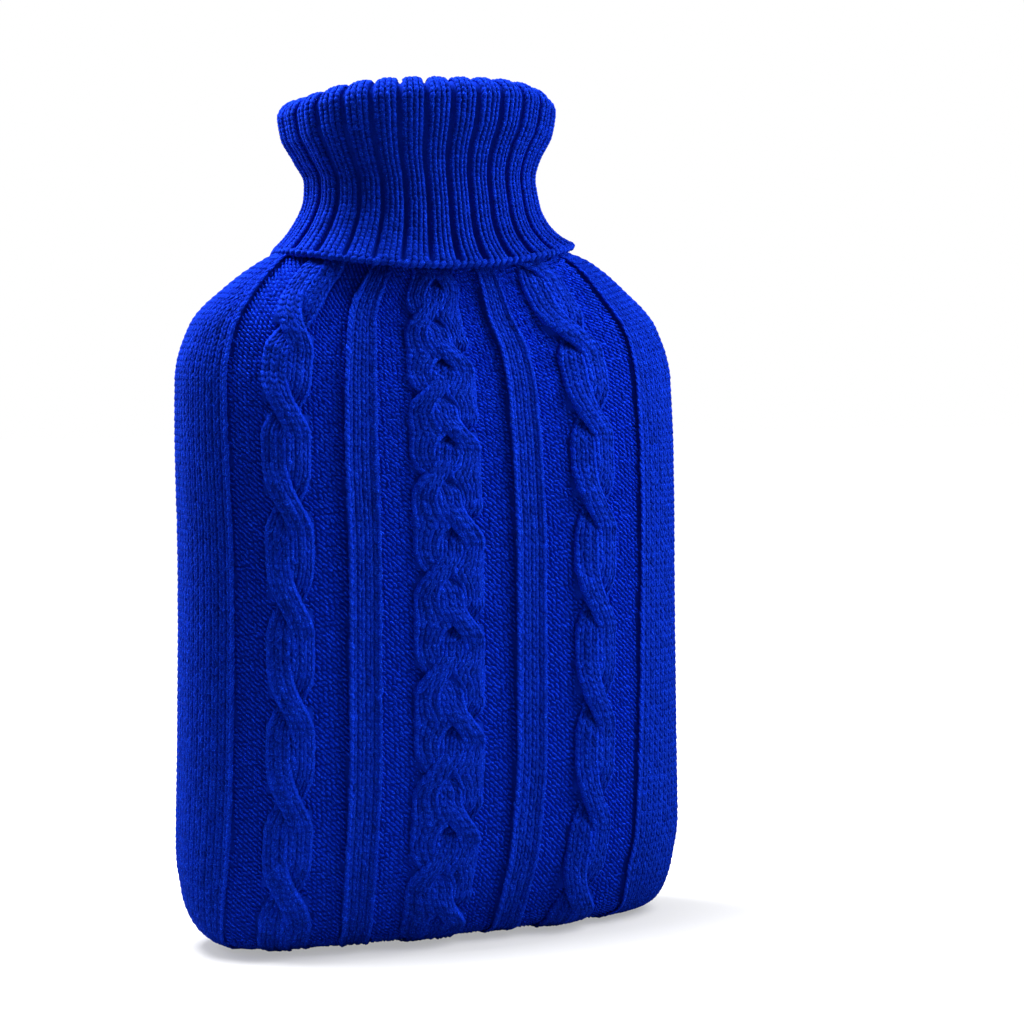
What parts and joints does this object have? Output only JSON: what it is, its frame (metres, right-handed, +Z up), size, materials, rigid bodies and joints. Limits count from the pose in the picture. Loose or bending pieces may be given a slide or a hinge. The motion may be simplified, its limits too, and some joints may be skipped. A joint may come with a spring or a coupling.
{
  "type": "hot water bottle cover",
  "caption": "Cable-knit wool cover for a hot water bottle: a hollow upright pouch with rope and plait cables and a ribbed polo-neck collar turned down over its shoulders.",
  "frame": {"origin": "on the surface that the cover stands on, under the middle of its outline", "axes": "+Z up to the neck, -Y out of the front, +X to the right as seen from the front"},
  "size_m": [0.2072, 0.0828, 0.3331],
  "materials": {
    "knitted_body": "royal blue wool yarn, cable knit",
    "rib_collar": "royal blue wool yarn, two by two rib"
  },
  "bodies": {
    "root": {"knitted_body": "knitted_body", "rib_collar": "rib_collar"}
  },
  "joints": []
}
